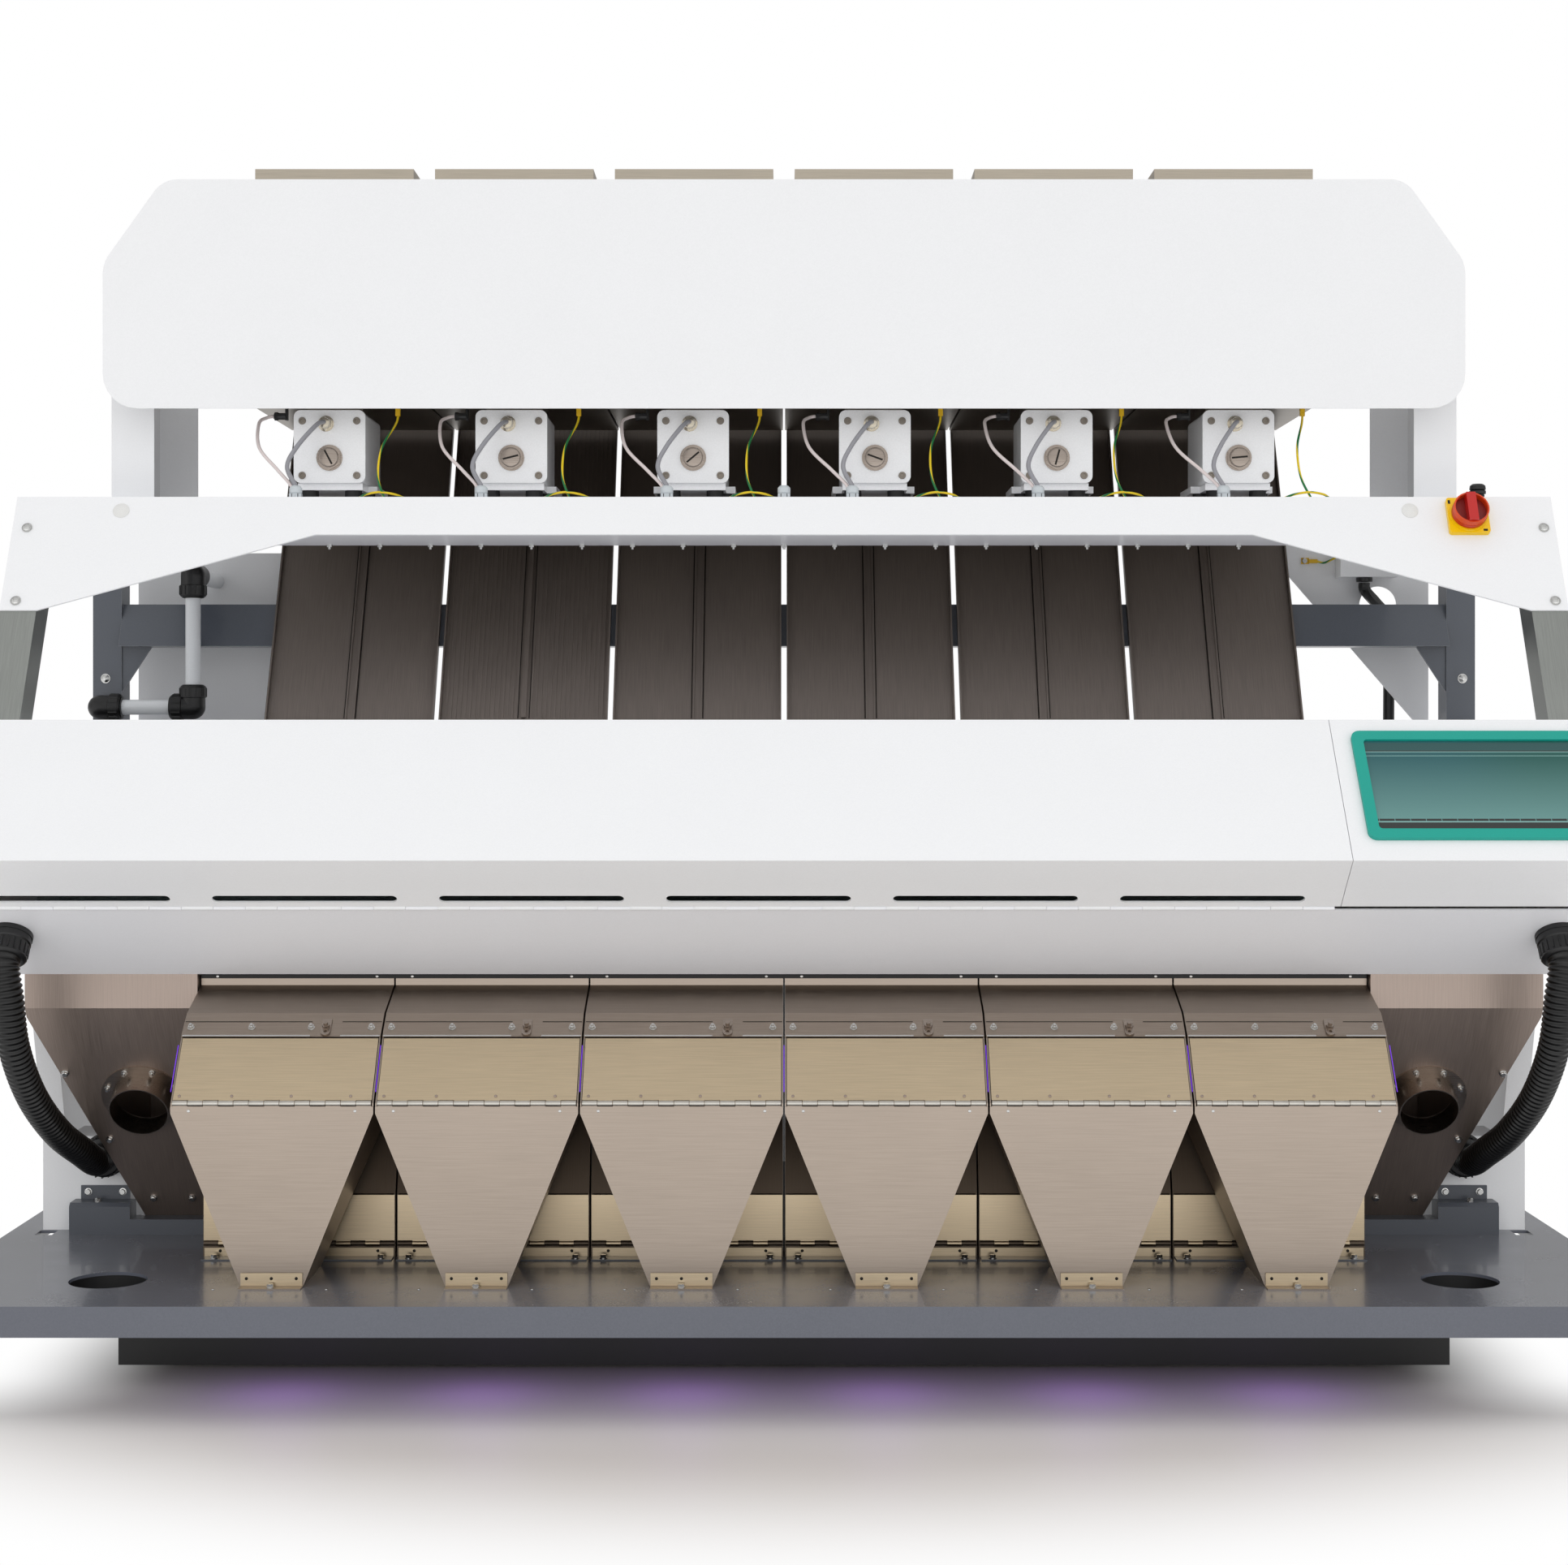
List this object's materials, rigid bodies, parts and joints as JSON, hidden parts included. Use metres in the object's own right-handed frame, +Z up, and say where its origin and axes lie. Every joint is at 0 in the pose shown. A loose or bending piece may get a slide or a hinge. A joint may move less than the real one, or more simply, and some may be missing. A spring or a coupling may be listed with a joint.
{
  "type": "optical colour sorter",
  "caption": "Chute-fed optical colour sorter: inlet hoppers, vibrating trays and inclined chutes feed an optical housing above hinged collecting hoppers on a base plate.",
  "frame": {"origin": "middle of the machine's footprint on the floor", "axes": "+X to the right as the operator sees the front, +Y to the rear, +Z up"},
  "size_m": [2.684, 1.302, 2.055],
  "materials": {
    "base_plate": "semi-gloss paint",
    "base_frame": "semi-gloss paint",
    "levelling_feet": "zinc plated",
    "front_hoppers": "brushed stainless",
    "rear_hoppers": "brushed stainless",
    "end_plates": "brushed stainless",
    "aspiration_spigots": "brushed stainless",
    "side_frames": "gloss paint",
    "hose_left": "corrugated, glossy",
    "hose_right": "corrugated, glossy",
    "hose_connectors": "moulded",
    "front_cover": "gloss paint",
    "screen_panel": "gloss paint",
    "screen_bezel": "moulded",
    "touch_screen": "glass front, opaque",
    "optical_housing": "gloss paint",
    "viewing_windows": "clear",
    "light_bars": "diffuser",
    "camera_units": "moulded",
    "ejector_bars": "anodised",
    "front_beam": "gloss paint",
    "beam_posts": "brushed",
    "switch_plate": "moulded",
    "switch_knob": "moulded",
    "feeder_shelf": "gloss paint",
    "feeder_drives": "textured paint",
    "drive_mounts": "moulded",
    "inlet_hoppers": "brushed stainless",
    "header_panels": "gloss paint",
    "header_columns": "gloss paint",
    "chutes": "dark anodised",
    "rear_frame": "semi-gloss paint",
    "side_panels": "gloss paint",
    "air_pipes": "translucent nylon",
    "line_fittings": "moulded",
    "feeder_leads": "cable sheath",
    "front_flap_1": "bright brushed stainless",
    "rear_flap_1": "bright brushed stainless",
    "latch_1": "zinc plated",
    "tray_1": "dark steel",
    "front_flap_2": "bright brushed stainless",
    "rear_flap_2": "bright brushed stainless",
    "latch_2": "zinc plated",
    "tray_2": "dark steel",
    "front_flap_3": "bright brushed stainless",
    "rear_flap_3": "bright brushed stainless",
    "latch_3": "zinc plated",
    "tray_3": "dark steel",
    "front_flap_4": "bright brushed stainless",
    "rear_flap_4": "bright brushed stainless",
    "latch_4": "zinc plated",
    "tray_4": "dark steel",
    "front_flap_5": "bright brushed stainless",
    "rear_flap_5": "bright brushed stainless",
    "latch_5": "zinc plated",
    "tray_5": "dark steel",
    "front_flap_6": "bright brushed stainless",
    "rear_flap_6": "bright brushed stainless",
    "latch_6": "zinc plated",
    "tray_6": "dark steel"
  },
  "bodies": {
    "machine": {"base_plate": "base_plate", "base_frame": "base_frame", "levelling_feet": "levelling_feet", "front_hoppers": "front_hoppers", "rear_hoppers": "rear_hoppers", "end_plates": "end_plates", "aspiration_spigots": "aspiration_spigots", "side_frames": "side_frames", "hose_left": "hose_left", "hose_right": "hose_right", "hose_connectors": "hose_connectors", "screen_panel": "screen_panel", "screen_bezel": "screen_bezel", "touch_screen": "touch_screen", "optical_housing": "optical_housing", "viewing_windows": "viewing_windows", "light_bars": "light_bars", "camera_units": "camera_units", "ejector_bars": "ejector_bars", "front_beam": "front_beam", "beam_posts": "beam_posts", "switch_plate": "switch_plate", "feeder_shelf": "feeder_shelf", "feeder_drives": "feeder_drives", "drive_mounts": "drive_mounts", "inlet_hoppers": "inlet_hoppers", "header_panels": "header_panels", "header_columns": "header_columns", "chutes": "chutes", "rear_frame": "rear_frame", "side_panels": "side_panels", "air_pipes": "air_pipes", "line_fittings": "line_fittings", "feeder_leads": "feeder_leads"},
    "cover": {"front_cover": "front_cover"},
    "knob": {"switch_knob": "switch_knob"},
    "front_flap_1_body": {"front_flap_1": "front_flap_1"},
    "rear_flap_1_body": {"rear_flap_1": "rear_flap_1"},
    "latch_1_body": {"latch_1": "latch_1"},
    "tray_1_body": {"tray_1": "tray_1"},
    "front_flap_2_body": {"front_flap_2": "front_flap_2"},
    "rear_flap_2_body": {"rear_flap_2": "rear_flap_2"},
    "latch_2_body": {"latch_2": "latch_2"},
    "tray_2_body": {"tray_2": "tray_2"},
    "front_flap_3_body": {"front_flap_3": "front_flap_3"},
    "rear_flap_3_body": {"rear_flap_3": "rear_flap_3"},
    "latch_3_body": {"latch_3": "latch_3"},
    "tray_3_body": {"tray_3": "tray_3"},
    "front_flap_4_body": {"front_flap_4": "front_flap_4"},
    "rear_flap_4_body": {"rear_flap_4": "rear_flap_4"},
    "latch_4_body": {"latch_4": "latch_4"},
    "tray_4_body": {"tray_4": "tray_4"},
    "front_flap_5_body": {"front_flap_5": "front_flap_5"},
    "rear_flap_5_body": {"rear_flap_5": "rear_flap_5"},
    "latch_5_body": {"latch_5": "latch_5"},
    "tray_5_body": {"tray_5": "tray_5"},
    "front_flap_6_body": {"front_flap_6": "front_flap_6"},
    "rear_flap_6_body": {"rear_flap_6": "rear_flap_6"},
    "latch_6_body": {"latch_6": "latch_6"},
    "tray_6_body": {"tray_6": "tray_6"}
  },
  "joints": [
    {"name": "cover_hinge", "type": "hinge", "parent": "machine", "child": "cover", "pos_m": [0, -0.48, 0.777], "axis": [1, 0, 0], "range_deg": [0, 100]},
    {"name": "switch_turn", "type": "hinge", "parent": "machine", "child": "knob", "pos_m": [1.164, -0.15207, 1.41858], "axis": [0, -0.891, 0.454], "range_deg": [0, 90]},
    {"name": "front_flap_1_hinge", "type": "hinge", "parent": "machine", "child": "front_flap_1_body", "pos_m": [-0.8, -0.515, 0.474], "axis": [1, 0, 0], "range_deg": [0, 180]},
    {"name": "rear_flap_1_hinge", "type": "hinge", "parent": "machine", "child": "rear_flap_1_body", "pos_m": [-0.8, -0.289, 0.21], "axis": [1, 0, 0], "range_deg": [0, 15]},
    {"name": "latch_1_turn", "type": "hinge", "parent": "machine", "child": "latch_1_body", "pos_m": [-0.73, -0.4282, 0.57991], "axis": [0, -0.627, 0.779], "range_deg": [0, 90]},
    {"name": "tray_1_shake", "type": "slide", "parent": "machine", "child": "tray_1_body", "axis": [0, 1, 0], "range_m": [-0.001, 0.001], "stiffness_N_per_m": 60000},
    {"name": "front_flap_2_hinge", "type": "hinge", "parent": "machine", "child": "front_flap_2_body", "pos_m": [-0.48, -0.515, 0.474], "axis": [1, 0, 0], "range_deg": [0, 180]},
    {"name": "rear_flap_2_hinge", "type": "hinge", "parent": "machine", "child": "rear_flap_2_body", "pos_m": [-0.48, -0.289, 0.21], "axis": [1, 0, 0], "range_deg": [0, 15]},
    {"name": "latch_2_turn", "type": "hinge", "parent": "machine", "child": "latch_2_body", "pos_m": [-0.41, -0.4282, 0.57991], "axis": [0, -0.627, 0.779], "range_deg": [0, 90]},
    {"name": "tray_2_shake", "type": "slide", "parent": "machine", "child": "tray_2_body", "axis": [0, 1, 0], "range_m": [-0.001, 0.001], "stiffness_N_per_m": 60000},
    {"name": "front_flap_3_hinge", "type": "hinge", "parent": "machine", "child": "front_flap_3_body", "pos_m": [-0.16, -0.515, 0.474], "axis": [1, 0, 0], "range_deg": [0, 180]},
    {"name": "rear_flap_3_hinge", "type": "hinge", "parent": "machine", "child": "rear_flap_3_body", "pos_m": [-0.16, -0.289, 0.21], "axis": [1, 0, 0], "range_deg": [0, 15]},
    {"name": "latch_3_turn", "type": "hinge", "parent": "machine", "child": "latch_3_body", "pos_m": [-0.09, -0.4282, 0.57991], "axis": [0, -0.627, 0.779], "range_deg": [0, 90]},
    {"name": "tray_3_shake", "type": "slide", "parent": "machine", "child": "tray_3_body", "axis": [0, 1, 0], "range_m": [-0.001, 0.001], "stiffness_N_per_m": 60000},
    {"name": "front_flap_4_hinge", "type": "hinge", "parent": "machine", "child": "front_flap_4_body", "pos_m": [0.16, -0.515, 0.474], "axis": [1, 0, 0], "range_deg": [0, 180]},
    {"name": "rear_flap_4_hinge", "type": "hinge", "parent": "machine", "child": "rear_flap_4_body", "pos_m": [0.16, -0.289, 0.21], "axis": [1, 0, 0], "range_deg": [0, 15]},
    {"name": "latch_4_turn", "type": "hinge", "parent": "machine", "child": "latch_4_body", "pos_m": [0.23, -0.4282, 0.57991], "axis": [0, -0.627, 0.779], "range_deg": [0, 90]},
    {"name": "tray_4_shake", "type": "slide", "parent": "machine", "child": "tray_4_body", "axis": [0, 1, 0], "range_m": [-0.001, 0.001], "stiffness_N_per_m": 60000},
    {"name": "front_flap_5_hinge", "type": "hinge", "parent": "machine", "child": "front_flap_5_body", "pos_m": [0.48, -0.515, 0.474], "axis": [1, 0, 0], "range_deg": [0, 180]},
    {"name": "rear_flap_5_hinge", "type": "hinge", "parent": "machine", "child": "rear_flap_5_body", "pos_m": [0.48, -0.289, 0.21], "axis": [1, 0, 0], "range_deg": [0, 15]},
    {"name": "latch_5_turn", "type": "hinge", "parent": "machine", "child": "latch_5_body", "pos_m": [0.55, -0.4282, 0.57991], "axis": [0, -0.627, 0.779], "range_deg": [0, 90]},
    {"name": "tray_5_shake", "type": "slide", "parent": "machine", "child": "tray_5_body", "axis": [0, 1, 0], "range_m": [-0.001, 0.001], "stiffness_N_per_m": 60000},
    {"name": "front_flap_6_hinge", "type": "hinge", "parent": "machine", "child": "front_flap_6_body", "pos_m": [0.8, -0.515, 0.474], "axis": [1, 0, 0], "range_deg": [0, 180]},
    {"name": "rear_flap_6_hinge", "type": "hinge", "parent": "machine", "child": "rear_flap_6_body", "pos_m": [0.8, -0.289, 0.21], "axis": [1, 0, 0], "range_deg": [0, 15]},
    {"name": "latch_6_turn", "type": "hinge", "parent": "machine", "child": "latch_6_body", "pos_m": [0.87, -0.4282, 0.57991], "axis": [0, -0.627, 0.779], "range_deg": [0, 90]},
    {"name": "tray_6_shake", "type": "slide", "parent": "machine", "child": "tray_6_body", "axis": [0, 1, 0], "range_m": [-0.001, 0.001], "stiffness_N_per_m": 60000}
  ]
}
